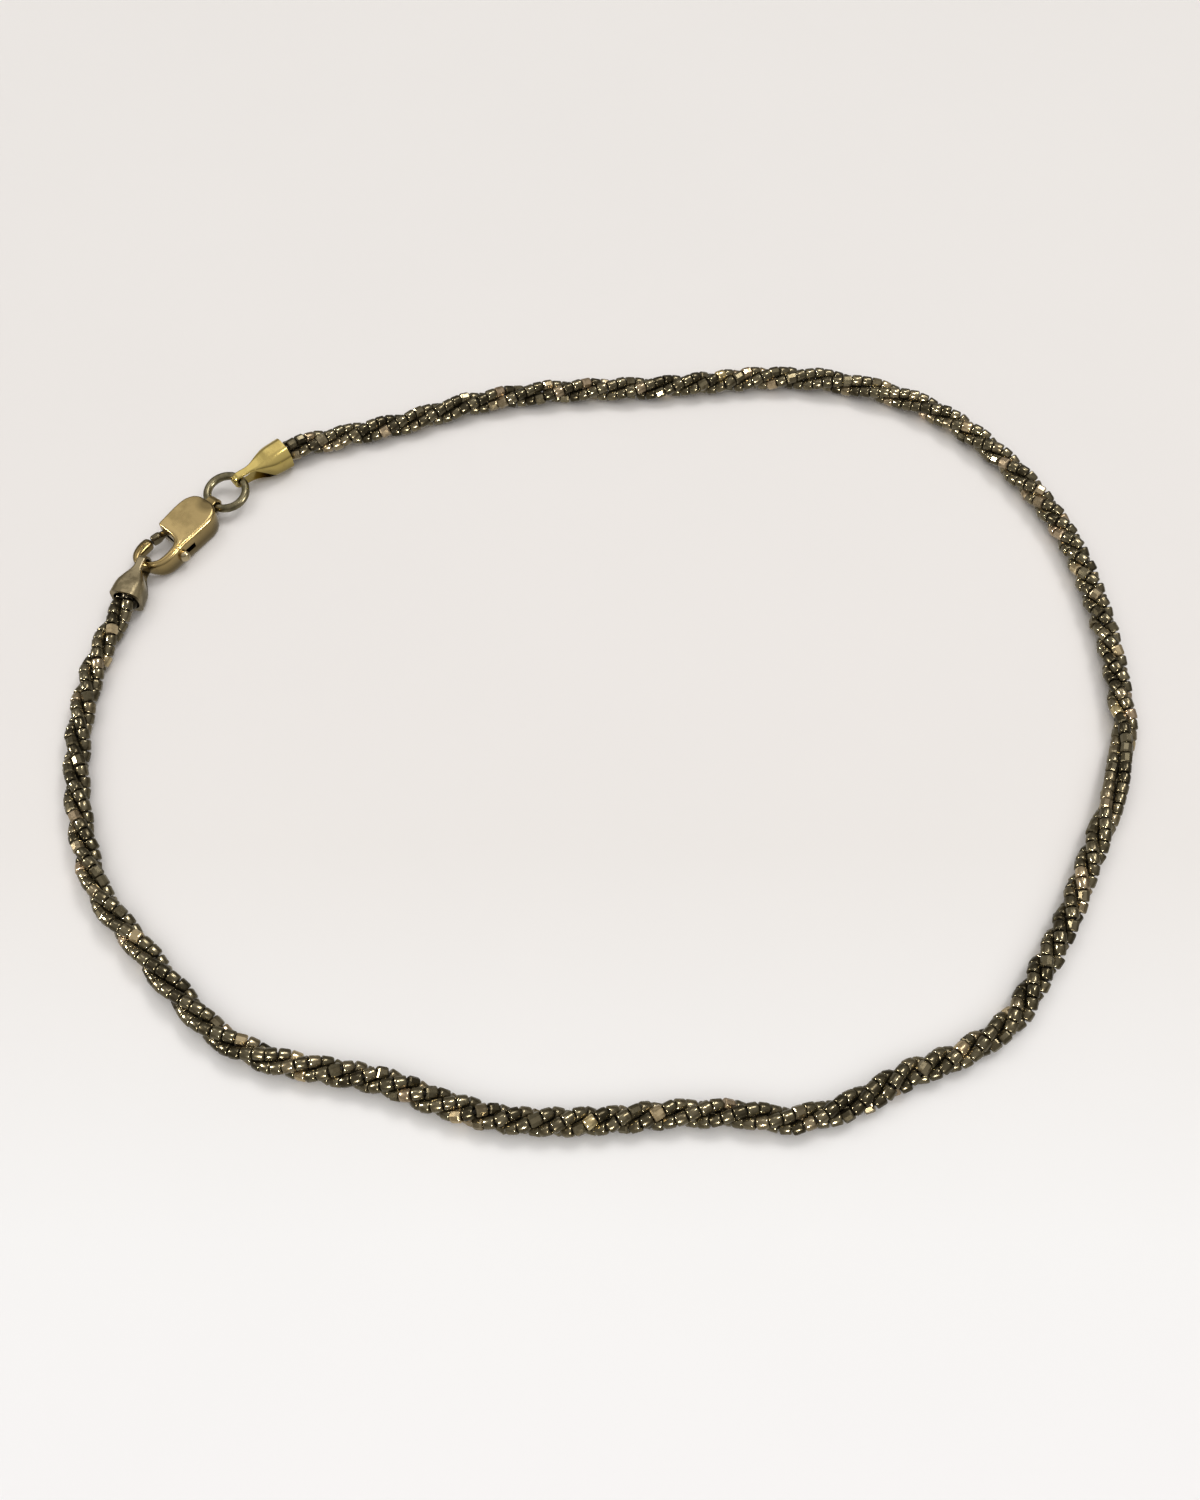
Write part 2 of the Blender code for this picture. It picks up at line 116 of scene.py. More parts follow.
def mesh_object(name, points, faces, sharp=38.0):
    """Mesh object at the origin, faces outwards, smooth except at edges sharper than the angle."""
    mesh = bpy.data.meshes.new(name)
    mesh.from_pydata((np.asarray(points).reshape(-1, 3) * MM).tolist(), [], faces)
    shell = bmesh.new()
    shell.from_mesh(mesh)
    bmesh.ops.recalc_face_normals(shell, faces=shell.faces)
    shell.to_mesh(mesh)
    shell.free()
    mesh.shade_smooth()
    mesh.set_sharp_from_angle(angle=math.radians(sharp))
    obj = bpy.data.objects.new(name, mesh)
    bpy.context.scene.collection.objects.link(obj)
    return obj


def skin(name, rings, matrix=np.eye(4), loop=False, sharp=38.0):
    """Object over rings of points, an array of ring by point by 3."""
    rings = np.asarray(rings, dtype=float)
    points = carried(matrix, rings.reshape(-1, 3))
    return mesh_object(name, points, skin_faces(rings.shape[0], rings.shape[1], loop), sharp)


def joined(target, steps, sharp=32.0):
    """Target after exact Booleans: each step is a helper shape and what it does."""
    for helper, operation in steps:
        modifier = target.modifiers.new(helper.name, "BOOLEAN")
        modifier.object = helper
        modifier.operation = operation
        modifier.solver = "EXACT"
    bpy.context.view_layer.update()
    result = bpy.data.meshes.new_from_object(target.evaluated_get(bpy.context.evaluated_depsgraph_get()))
    target.modifiers.clear()
    target.data = result
    for helper, _ in steps:
        bpy.data.objects.remove(helper, do_unlink=True)
    result.shade_smooth()
    result.set_sharp_from_angle(angle=math.radians(sharp))
    return target


def finish_piece(obj, material, body, node):
    """Give a piece its material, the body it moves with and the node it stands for."""
    obj.data.materials.clear()
    obj.data.materials.append(material)
    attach(obj, body)
    if node:
        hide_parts(node)
    print(obj.name, len(obj.data.polygons), "faces")
    return obj


print("helpers ready")

# %% [markdown]
# ## Shared node groups
# Two effects come back in the metals here: patches of tarnish and the fine scratches of wear. Each is a
# node group, so that a change in one place changes all the pieces.

# %% Node groups


def node_group(name, inputs, outputs):
    """Empty shader node group with its sockets, its nodes, and its way in and out."""
    group = bpy.data.node_groups.new(name, "ShaderNodeTree")
    for label, kind, value in inputs:
        socket = group.interface.new_socket(label, in_out="INPUT", socket_type=kind)
        if value is not None:
            socket.default_value = value
    for label, kind in outputs:
        group.interface.new_socket(label, in_out="OUTPUT", socket_type=kind)
    return group, group.nodes.new("NodeGroupInput"), group.nodes.new("NodeGroupOutput")


def tarnish_group():
    """Patches: noise at a scale, whose values from Low to High become 0 to 1 by a smooth step."""
    group, start, end = node_group(
        "tarnish patches",
        [("Vector", "NodeSocketVector", None), ("Scale", "NodeSocketFloat", 1500.0),
         ("Low", "NodeSocketFloat", 0.42), ("High", "NodeSocketFloat", 0.62)],
        [("Mask", "NodeSocketFloat")])
    noise = group.nodes.new("ShaderNodeTexNoise")
    noise.inputs["Detail"].default_value = 4.0
    noise.inputs["Roughness"].default_value = 0.62
    band = group.nodes.new("ShaderNodeMapRange")
    band.interpolation_type = "SMOOTHSTEP"
    group.links.new(start.outputs["Vector"], noise.inputs["Vector"])
    group.links.new(start.outputs["Scale"], noise.inputs["Scale"])
    group.links.new(noise.outputs["Fac"], band.inputs["Value"])
    group.links.new(start.outputs["Low"], band.inputs["From Min"])
    group.links.new(start.outputs["High"], band.inputs["From Max"])
    group.links.new(band.outputs["Result"], end.inputs["Mask"])
    return group


def wear_group():
    """Fine scratches: noise drawn out along one axis and used as a height for a bumped normal."""
    group, start, end = node_group(
        "fine scratches",
        [("Vector", "NodeSocketVector", None), ("Scale", "NodeSocketFloat", 9000.0),
         ("Strength", "NodeSocketFloat", 0.15), ("Depth", "NodeSocketFloat", 0.00002)],
        [("Normal", "NodeSocketVector")])
    stretch = group.nodes.new("ShaderNodeMapping")
    stretch.inputs["Rotation"].default_value = (0.3, 0.2, 0.6)
    stretch.inputs["Scale"].default_value = (1.0, 0.18, 0.6)
    noise = group.nodes.new("ShaderNodeTexNoise")
    noise.inputs["Detail"].default_value = 3.0
    bump = group.nodes.new("ShaderNodeBump")
    group.links.new(start.outputs["Vector"], stretch.inputs["Vector"])
    group.links.new(stretch.outputs["Vector"], noise.inputs["Vector"])
    group.links.new(start.outputs["Scale"], noise.inputs["Scale"])
    group.links.new(noise.outputs["Fac"], bump.inputs["Height"])
    group.links.new(start.outputs["Strength"], bump.inputs["Strength"])
    group.links.new(start.outputs["Depth"], bump.inputs["Distance"])
    group.links.new(bump.outputs["Normal"], end.inputs["Normal"])
    return group


TARNISH = tarnish_group()
SCRATCHES = wear_group()
print("groups:", TARNISH.name, "and", SCRATCHES.name)

# %% [markdown]
# ## Metals
# One builder makes every plain metal: a bright colour where it is worn, a dark one in the tarnish patches,
# and a roughness for each. Low down and in chosen spots it gets painted shade, a darker colour where it
# hides from the light. The beads need more: their colour differs from bead to bead.

# %% Node helpers


def group_node(tree, group, **values):
    """Group node with the given socket values."""
    node = tree.nodes.new("ShaderNodeGroup")
    node.node_tree = group
    for label, value in values.items():
        node.inputs[label].default_value = value
    return node


def mix_colours(tree, factor, first, second, blend="MIX"):
    """Colour mix node; each of the three may be a socket or a constant."""
    node = tree.nodes.new("ShaderNodeMix")
    node.data_type = "RGBA"
    node.blend_type = blend
    for index, value in ((0, factor), (6, first), (7, second)):
        if isinstance(value, bpy.types.NodeSocket):
            tree.links.new(value, node.inputs[index])
        else:
            node.inputs[index].default_value = value if index == 0 else (*value, 1.0)
    return node.outputs[2]


def mapped(tree, value, start, end, low, high):
    """Value socket whose range start .. end is brought to low .. high."""
    node = tree.nodes.new("ShaderNodeMapRange")
    for label, number in (("From Min", start), ("From Max", end), ("To Min", low), ("To Max", high)):
        node.inputs[label].default_value = number
    tree.links.new(value, node.inputs["Value"])
    return node.outputs["Result"]


def colour_ramp(tree, value, stops):
    """Colour for a value, from rows of position and colour."""
    node = tree.nodes.new("ShaderNodeValToRGB")
    elements = node.color_ramp.elements
    for element, (position, colour) in zip(elements, (stops[0], stops[-1])):
        element.position = position
        element.color = (*colour, 1.0)
    for position, colour in stops[1:-1]:
        elements.new(position).color = (*colour, 1.0)
    tree.links.new(value, node.inputs["Fac"])
    return node.outputs["Color"]


print("node helpers ready")

# %% Materials
# Painted shade on the fittings: full below the first height and gone above the second; it and the painted
# shade spots take these shares of the dark colour.
PAINTED_SHADE_FULL_BELOW = 0.8
PAINTED_SHADE_GONE_ABOVE = 2.2
PAINTED_LOW_SHADE_SHARE = 0.25
PAINTED_SPOT_SHARE = 0.4
BEAD_TINTS = [
    (0.0, (0.075, 0.063, 0.038)), (0.22, (0.138, 0.118, 0.074)), (0.55, (0.222, 0.190, 0.121)),
    (0.78, (0.38, 0.31, 0.20)), (0.90, (0.54, 0.41, 0.28)), (1.0, (0.78, 0.64, 0.36)),
]
BEAD_WORN = (0.58, 0.56, 0.53)
# Colour of the beads at the caps: oxide and painted shade.
BEAD_OXIDE_AND_SHADE = (0.045, 0.038, 0.026)


def metal(name, bright, dark, smooth_rough, dull_rough, patch=1500.0, low=0.42, high=0.62, painted_low_shade=0.0,
          painted_shade_spots=()):
    """Metal between a bright and a dark colour and two roughnesses; painted shade low down and in each spot.
    """
    material = bpy.data.materials.new(name)
    material.use_nodes = True
    tree = material.node_tree
    shader = tree.nodes["Principled BSDF"]
    place = tree.nodes.new("ShaderNodeTexCoord").outputs["Object"]
    patches = group_node(tree, TARNISH, Scale=patch, Low=low, High=high)
    tree.links.new(place, patches.inputs["Vector"])
    colour = mix_colours(tree, patches.outputs["Mask"], bright, dark)
    height = tree.nodes.new("ShaderNodeSeparateXYZ")
    tree.links.new(place, height.inputs["Vector"])
    # Painted shade: the colour darkens towards the bottom of the piece.
    lower = mapped(tree, height.outputs["Z"], PAINTED_SHADE_FULL_BELOW * MM, PAINTED_SHADE_GONE_ABOVE * MM, painted_low_shade, 0.0)
    colour = mix_colours(tree, lower, colour, [PAINTED_LOW_SHADE_SHARE * value for value in dark])
    # Painted shade in each spot: full within 0.6 of its radius and gone at 1.3 of it.
    for x, y, z, radius, strength in painted_shade_spots:
        gap = tree.nodes.new("ShaderNodeVectorMath")
        gap.operation = "DISTANCE"
        gap.inputs[1].default_value = (x * MM, y * MM, z * MM)
        tree.links.new(place, gap.inputs[0])
        spot_shade = mapped(tree, gap.outputs["Value"], 0.6 * radius * MM, 1.3 * radius * MM, strength, 0.0)
        colour = mix_colours(tree, spot_shade, colour, [PAINTED_SPOT_SHARE * value for value in dark])
    tree.links.new(colour, shader.inputs["Base Color"])
    rough = mapped(tree, patches.outputs["Mask"], 0.0, 1.0, smooth_rough, dull_rough)
    tree.links.new(rough, shader.inputs["Roughness"])
    wear = group_node(tree, SCRATCHES, Strength=0.15)
    tree.links.new(place, wear.inputs["Vector"])
    tree.links.new(wear.outputs["Normal"], shader.inputs["Normal"])
    shader.inputs["Metallic"].default_value = 1.0
    return material


def bead_metal():
    """Tarnished plating: the tint picks a colour, oxide and painted shade darken it, patches wear through."""
    material = bpy.data.materials.new("tarnished beads")
    material.use_nodes = True
    tree = material.node_tree
    shader = tree.nodes["Principled BSDF"]
    tint = tree.nodes.new("ShaderNodeAttribute")
    tint.attribute_name = "tint"
    plating = colour_ramp(tree, tint.outputs["Fac"], BEAD_TINTS)
    place = tree.nodes.new("ShaderNodeTexCoord").outputs["Object"]
    patches = group_node(tree, TARNISH, Scale=1700.0, Low=0.46, High=0.60)
    tree.links.new(place, patches.inputs["Vector"])
    darker = mix_colours(tree, 1.0, plating, BEAD_WORN, "MULTIPLY")
    worn = mix_colours(tree, patches.outputs["Mask"], plating, darker)
    # Oxide and painted shade at the ends of the strands, where the beads go into the caps.
    shade = tree.nodes.new("ShaderNodeAttribute")
    shade.attribute_name = "shade"
    colour = mix_colours(tree, shade.outputs["Fac"], BEAD_OXIDE_AND_SHADE, worn)
    tree.links.new(colour, shader.inputs["Base Color"])
    rough = mapped(tree, patches.outputs["Mask"], 0.0, 1.0, 0.17, 0.28)
    tree.links.new(rough, shader.inputs["Roughness"])
    shader.inputs["Metallic"].default_value = 0.92
    return material


BEADS = bead_metal()
THREAD = metal("dark thread", (0.06, 0.052, 0.038), (0.03, 0.026, 0.02), 0.7, 0.8)
THREAD.node_tree.nodes["Principled BSDF"].inputs["Metallic"].default_value = 0.0
# Spots of painted shade on the clasp: on the hook's nose by the left cap, and on the top at the eye end.
CLASP_PAINTED_SHADE_SPOTS = [(-39.2, 15.4, 1.15, 1.5, 0.9), (-34.3, 19.0, 2.1, 0.9, 0.8), (-34.5, 18.3, 2.2, 2.4, 0.3)]
CLASP_GOLD = metal("clasp gold", (0.70, 0.52, 0.235), (0.52, 0.385, 0.17), 0.22, 0.32, 450.0, 0.46, 0.68,
                   painted_low_shade=0.9, painted_shade_spots=CLASP_PAINTED_SHADE_SPOTS)
# The cap's spot is painted shade low inside the cap, near its fold.
CAP_GOLD = metal("cap gold", (0.97, 0.76, 0.26), (0.80, 0.61, 0.21), 0.18, 0.28, 500.0, 0.50, 0.70,
                 painted_low_shade=0.85, painted_shade_spots=[(-30.5, 23.3, 0.0, 1.7, 1.0)])
OLD_GOLD = metal("old cap gold", (0.44, 0.36, 0.22), (0.27, 0.22, 0.13), 0.26, 0.38, 1100.0, 0.42, 0.60,
                 painted_low_shade=0.6)
WIRE = metal("tarnished wire", (0.30, 0.26, 0.16), (0.17, 0.15, 0.09), 0.26, 0.38, 1200.0)
# The lever's spot is painted shade on the gate's end, by the left cap.
LEVER = metal("tarnished lever", (0.66, 0.54, 0.34), (0.30, 0.25, 0.15), 0.26, 0.40, 1300.0, 0.46, 0.64,
              painted_shade_spots=[(-38.3, 15.6, 1.15, 1.6, 0.9)])
STEEL = metal("drawn steel", (0.45, 0.44, 0.41), (0.30, 0.29, 0.27), 0.25, 0.35)
print("materials:", len(bpy.data.materials))

# %% [markdown]
# ## Where things lie
# The clasp, the rings and the caps each have a frame of their own, the same as in the part. The clasp's x
# runs from its eye to its hook, and its y towards the spine.

# %% Frames of the pieces
BODY_MIDDLE = 1.15
EYE_SPOT = (0.29, 0.22, 1.06)
HOOK_SPOT = (8.50, -0.41, 0.0)
CAP_HALF = 1.34
RIGHT_LENGTH = 4.75
RIGHT_ANGLE = 39.0
LEFT_LENGTH = 3.65
LEFT_ANGLE = -104.5
JUMP_RADIUS = 1.70
JUMP_WIRE = 0.72
JUMP_ANGLE = 49.7
JUMP_LEAN = -5.0
FOLD_ANGLE = 51.3
CLASP = frame_at(-34.25, 20.13, 0.0, -122.8)
eye = carried(CLASP, EYE_SPOT)
JUMP = frame_at(*eye, JUMP_ANGLE) @ leaning(JUMP_LEAN) @ frame_at(JUMP_RADIUS, 0.0, 0.0)
turn = math.radians(FOLD_ANGLE - JUMP_ANGLE)
fold = carried(JUMP, (JUMP_RADIUS * math.cos(turn), JUMP_RADIUS * math.sin(turn), 0.0))
RIGHT_CAP = frame_at(fold[0], fold[1], CAP_HALF, RIGHT_ANGLE)
fold = carried(CLASP, HOOK_SPOT)
LEFT_CAP = frame_at(fold[0], fold[1], CAP_HALF, LEFT_ANGLE)
print("right cap at", RIGHT_CAP[:3, 3].round(2), "left cap at", LEFT_CAP[:3, 3].round(2))

# %% [markdown]
# ## The rope
# The middle line goes through listed points. Three strands wind round it, and the twist is uneven:
# the table says how many strands have crossed the top by each share of the length.

# %% Strand paths
ROUTE = [
    (-22.7, 27.6), (-17.6, 29.1), (-12.4, 31.1), (-7.0, 32.3), (-1.5, 32.9), (4.0, 33.1), (9.4, 33.7),
    (15.0, 34.3), (20.5, 34.0), (25.8, 32.6), (30.7, 30.0), (34.7, 26.1), (37.9, 21.4), (40.2, 16.2),
    (41.5, 10.5), (42.1, 4.8), (42.1, -0.7), (41.7, -4.1), (39.8, -9.3), (37.4, -14.2), (35.1, -18.8),
    (32.5, -23.0), (29.7, -26.9), (25.8, -29.4), (21.6, -31.0), (17.8, -33.0), (13.6, -34.1),
    (9.4, -33.7), (5.1, -33.7), (1.0, -34.1), (-3.3, -34.3), (-7.5, -34.0), (-11.6, -32.9),
    (-15.7, -31.4), (-20.0, -30.6), (-24.3, -29.7), (-28.1, -27.8), (-31.5, -24.6), (-34.7, -21.1),
    (-38.1, -17.2), (-40.2, -12.6), (-41.6, -7.4), (-42.2, -1.9), (-41.8, 3.5),
]
TWIST = np.array([
    (0.000, -0.4), (0.063, 3.7), (0.115, 6.7), (0.163, 9.7), (0.207, 13.7), (0.267, 16.7), (0.320, 20.8),
    (0.380, 27.8), (0.424, 31.8), (0.467, 32.8), (0.503, 35.9), (0.534, 39.0), (0.571, 42.0),
    (0.602, 45.1), (0.631, 47.1), (0.670, 50.1), (0.771, 61.1), (0.796, 63.1), (0.890, 68.9),
    (0.930, 71.8), (1.000, 77.0),
])
REST_HEIGHT = 1.11
TWIST_RADIUS = 0.575
INSIDE_MOUTH = 0.5
BEFORE_MOUTH = 0.8
STEP = 0.05
SMOOTHING = 50


def arc_length(points):
    """Length along a line up to each of its points."""
    return np.concatenate([[0.0], np.cumsum(np.linalg.norm(np.diff(points, axis=0), axis=1))])


def along_line(line, length, places):
    """Points of a line at the given lengths along it."""
    return np.stack([np.interp(places, length, line[:, axis]) for axis in range(3)], axis=1)


def unit(vectors):
    """Vectors brought to length one."""
    return vectors / np.linalg.norm(vectors, axis=-1, keepdims=True)


def strand_lines():
    """Strands p = m + r (cos a · up + sin a · side), with a = 2π/3 · (strand − crossed(s))."""
    starts = carried(RIGHT_CAP, [(RIGHT_LENGTH - INSIDE_MOUTH, 0, 0), (RIGHT_LENGTH + BEFORE_MOUTH, 0, 0)])
    ends = carried(LEFT_CAP, [(LEFT_LENGTH + BEFORE_MOUTH, 0, 0), (LEFT_LENGTH - INSIDE_MOUTH, 0, 0)])
    middle_points = np.column_stack([np.array(ROUTE), np.full(len(ROUTE), REST_HEIGHT)])
    line = smooth(np.vstack([starts, middle_points, ends]), 12)
    length = arc_length(line)
    even = np.arange(0.0, length[-1], STEP)
    crossed = np.interp(even / length[-1], TWIST[:, 0], TWIST[:, 1])
    padded = np.concatenate([2 * crossed[0] - crossed[SMOOTHING:0:-1], crossed,
                             2 * crossed[-1] - crossed[-2:-SMOOTHING - 2:-1]])
    crossed = np.convolve(padded, np.ones(2 * SMOOTHING + 1) / (2 * SMOOTHING + 1), mode="valid")
    middle = along_line(line, length, even)
    heading = unit(along_line(line, length, even + 0.2) - along_line(line, length, even - 0.2))
    side = unit(np.cross(heading, (0.0, 0.0, 1.0)))
    up = np.cross(side, heading)
    angle = 2 * np.pi / 3 * (np.arange(3)[:, None, None] - crossed[None, :, None])
    return middle + TWIST_RADIUS * (np.cos(angle) * up + np.sin(angle) * side)


STRANDS = strand_lines()
print("strand lengths:", [round(float(arc_length(line)[-1]), 1) for line in STRANDS])

# %% [markdown]
# ## Beads
# A bead is a short barrel with a hole: 9 sides round a profile of 8 points. The same small mesh is placed
# several hundred times, each time a little longer or shorter, turned and tilted, so that no two catch the
# light alike. Some beads are cut flat and flash as whole facets; most of these get a lighter tint, a painted
# highlight. Two numbers stay with each bead: its tint, and its oxide and painted shade, which darken the
# beads that go into the caps.

# %% Bead strands
BEAD_PITCH = 0.895
BEAD_SIDES = 9
BEAD_PROFILE = np.array([(-0.385, 0.18), (-0.428, 0.385), (-0.375, 0.46), (-0.28, 0.49), (0.28, 0.49),
                         (0.375, 0.46), (0.428, 0.385), (0.385, 0.18)])
CUT_BEADS = 0.18
DARK_BEADS = 0.16
BRIGHT_BEADS = 0.14
BEAD_TILT = 0.055
SIZE_SPREAD = 0.028
PLACE_SPREAD = 0.018
SOLE = 0.01
TINT_MIDDLE = 0.42
TINT_SPREAD = 0.13
OXIDE_AND_SHADE_START = 0.4
OXIDE_AND_SHADE_LENGTH = 1.0
THREAD_RADIUS = 0.16
THREAD_STEP = 0.35


def bead_template():
    """Points and faces of one bead along x: the profile turned about x, closed through its hole."""
    angle = 2 * np.pi * np.arange(BEAD_SIDES) / BEAD_SIDES
    x = np.repeat(BEAD_PROFILE[:, 0], BEAD_SIDES)
    radius = np.repeat(BEAD_PROFILE[:, 1], BEAD_SIDES)
    angle = np.tile(angle, len(BEAD_PROFILE))
    points = np.stack([x, radius * np.cos(angle), radius * np.sin(angle)], axis=1)
    return points, np.array(skin_faces(len(BEAD_PROFILE), BEAD_SIDES, loop=True))


def bead_frames(line, length, places):
    """Axes of each bead: x along the strand with a small tilt, y and z at a random spin."""
    ahead = unit(along_line(line, length, places + 0.25) - along_line(line, length, places - 0.25))
    ahead = unit(ahead + rng.normal(0.0, BEAD_TILT, ahead.shape))
    across = unit(np.cross(ahead, rng.normal(0.0, 1.0, ahead.shape)))
    return np.stack([ahead, across, np.cross(ahead, across)], axis=2)


def bead_strand(number, line):
    """One row of beads on a strand's line: p = place + axes · (size × template)."""
    template, quads = bead_template()
    length = arc_length(line)
    count = int(length[-1] / BEAD_PITCH)
    places = (np.arange(count) + 0.5) * length[-1] / count
    axes = bead_frames(line, length, places)
    size = 1.0 + rng.normal(0.0, SIZE_SPREAD, (count, 1, 3))
    middle = along_line(line, length, places) + rng.normal(0.0, PLACE_SPREAD, (count, 3))
    points = middle[:, None, :] + np.einsum("bij,bkj->bki", axes, template[None] * size)
    points[..., 2] = np.maximum(points[..., 2], SOLE)
    faces = (quads[None] + np.arange(count)[:, None, None] * len(template)).reshape(-1, 4)
    obj = mesh_object(f"beads_{number}", points, faces.tolist(), sharp=50.0)
    cut = rng.random(count) < CUT_BEADS
    obj.data.polygons.foreach_set("use_smooth", ~np.repeat(cut, len(quads)))
    from_end = np.minimum(places, length[-1] - places)
    tint = TINT_MIDDLE + TINT_SPREAD * rng.normal(size=count)
    bright = rng.random(count) > 1.0 - BRIGHT_BEADS
    tint = np.clip(tint + 0.5 * bright * rng.random(count), 0.0, 1.0)
    tint = np.where(rng.random(count) < DARK_BEADS, 0.05, tint)
    # Most cut beads get a lighter tint: a painted highlight, so that their facets flash.
    tint = np.where(cut & (rng.random(count) < 0.6), np.clip(tint + 0.35, 0.0, 0.95), tint)
    # Oxide and painted shade: the beads darken towards each end, where they go into the caps.
    shade = np.clip((from_end - OXIDE_AND_SHADE_START) / OXIDE_AND_SHADE_LENGTH, 0.0, 1.0)
    for label, values in (("tint", tint), ("shade", shade)):
        attribute = obj.data.attributes.new(label, "FLOAT", "POINT")
        attribute.data.foreach_set("value", np.repeat(values, len(template)).astype(np.float32))
    finish_piece(obj, BEADS, "anklet", f"strand_{number}")
    return count


def thread(number, line):
    """The dark thread through a row of beads, a thin round tube."""
    length = arc_length(line)
    places = np.linspace(0.1, length[-1] - 0.1, int(length[-1] / THREAD_STEP))
    middle = along_line(line, length, places)
    heading = unit(np.gradient(middle, axis=0))
    side = unit(np.cross(heading, (0.3, 0.2, 1.0)))
    up = np.cross(side, heading)
    angle = 2 * np.pi * np.arange(6)[None, :, None] / 6
    rings = middle[:, None] + THREAD_RADIUS * (np.cos(angle) * side[:, None] + np.sin(angle) * up[:, None])
    finish_piece(skin(f"thread_{number}", rings), THREAD, "anklet", None)


for number, line in enumerate(STRANDS, start=1):
    print("beads on strand", number, ":", bead_strand(number, line))
    thread(number, line)

# %% [markdown]
# ## Folded caps
# Each cap is a strip of sheet folded round what holds it, which widens and rises into an eight-sided
# socket for the rope. The section goes from a flat rectangle at the fold to a soft octagon at the mouth.

# %% End caps
CAP_SHEET = 0.20
CAP_TABLE = np.array([
    (0.00, 0.00, 0.00, 0.0), (0.22, 0.02, 0.00, 0.0), (0.37, 0.30, 0.12, 0.25), (0.52, 0.66, 0.41, 0.6),
    (0.66, 0.90, 0.73, 0.85), (0.82, 0.98, 0.94, 1.0), (1.00, 1.00, 1.00, 1.0),
])
CAP_RING = 64
CAP_TONGUE = 0.38
LEFT_EXTRA = 0.15
SOCKET_RADIUS = 1.14
SOCKET_DEPTH = 0.80
SQUARE = 1.94
SHARPNESS = 14.0


def cap_section(half_width, half_height, cut, octagon):
    """Outline r = (|c|^p + |s|^p + ((|c|+|s|)/k)^p)^(−1/p): a rectangle whose corners are cut off by k."""
    angle = 2 * np.pi * (np.arange(CAP_RING) + 0.5) / CAP_RING
    cos, sin = np.cos(angle), np.sin(angle)
    corner = (np.abs(cos) + np.abs(sin)) / (SQUARE + (octagon - SQUARE) * cut)
    total = np.abs(cos) ** SHARPNESS + np.abs(sin) ** SHARPNESS + corner ** SHARPNESS
    radius = total ** (-1 / SHARPNESS)
    return half_width * radius * cos, half_height * radius * sin


def end_cap(name, matrix, length, hole, depth, octagon, material, node):
    """Cap from its fold to its mouth; the gap in the fold, hole high and depth deep, and the socket go out."""
    fold_height = hole + CAP_SHEET
    turns = np.radians([8.0, 24.0, 42.0, 62.0, 78.0])
    rows = [(-(depth + CAP_SHEET) * math.cos(a), CAP_TONGUE, fold_height * math.sin(a), 0.0) for a in turns]
    table = smooth(CAP_TABLE, 6)
    widths = CAP_TONGUE + table[:, 1] * (CAP_HALF - CAP_TONGUE)
    heights = fold_height + table[:, 2] * (CAP_HALF - fold_height)
    rows = np.vstack([rows, np.column_stack([table[:, 0] * length, widths, heights, table[:, 3]])])
    rings = []
    for along, half_width, half_height, cut in rows:
        across, up = cap_section(half_width, half_height, max(cut, 0.0), octagon)
        rings.append(np.column_stack([np.full(CAP_RING, along), across, up]))
    cap = skin(name, rings, matrix)
    bend = np.radians(np.linspace(90.0, 270.0, 25))
    gap = np.column_stack([depth * np.cos(bend), hole * np.sin(bend)])
    lower = np.array([(a, CAP_SHEET - h) for a, w, h, c in rows if 0.02 < a < 0.68 * length])
    back = np.array([(lower[-1, 0], -0.80), (0.50 * length, -0.16), (0.30 * length, hole)])
    gap = np.vstack([gap, lower, back])
    sheet_gap = [np.column_stack([gap[:, 0], np.full(len(gap), y), gap[:, 1]]) for y in (-3.0, 3.0)]
    angle = 2 * np.pi * np.arange(32) / 32
    circle = SOCKET_RADIUS * np.column_stack([np.cos(angle), np.sin(angle)])
    bore = [np.column_stack([np.full(32, x), circle]) for x in (length - SOCKET_DEPTH, length + 0.3)]
    joined(cap, [(skin(name + " gap", sheet_gap, matrix), "DIFFERENCE"),
                 (skin(name + " bore", bore, matrix), "DIFFERENCE")])
    finish_piece(cap, material, "anklet", node)


end_cap("cap_right", RIGHT_CAP, RIGHT_LENGTH, 0.50, 0.50, 1.48, CAP_GOLD, "end_cap_right")
end_cap("cap_left", LEFT_CAP, LEFT_LENGTH + LEFT_EXTRA, 0.78, 0.45, 1.66, OLD_GOLD, "end_cap_left")

# %% [markdown]
# ## Jump ring
# A plain torus: reach = R + r cos b round the circle a, height r sin b.

# %% Jump ring


def wire_ring(name, radius, wire, matrix, material, node):
    """Torus of round wire about the z axis of its frame."""
    a = (2 * np.pi * np.arange(96) / 96)[:, None]
    b = (2 * np.pi * np.arange(20) / 20)[None, :]
    reach = radius + wire / 2 * np.cos(b)
    rings = np.stack([reach * np.cos(a), reach * np.sin(a), wire / 2 * np.sin(b) + 0 * a], axis=-1)
    finish_piece(skin(name, rings, matrix, loop=True), material, "anklet", node)


wire_ring("ring_jump", JUMP_RADIUS, JUMP_WIRE, JUMP, WIRE, "jump_ring")

# %% [markdown]
# ## Clasp body and hook
# The cast body is one skin. Each row of the table is a place on its outline, the place on its middle line
# that it leans to, half its height there and how far its edge is rounded. A smooth closed curve goes
# through the rows, and the skin climbs from the flat back up the wall and over the edge to the crown.

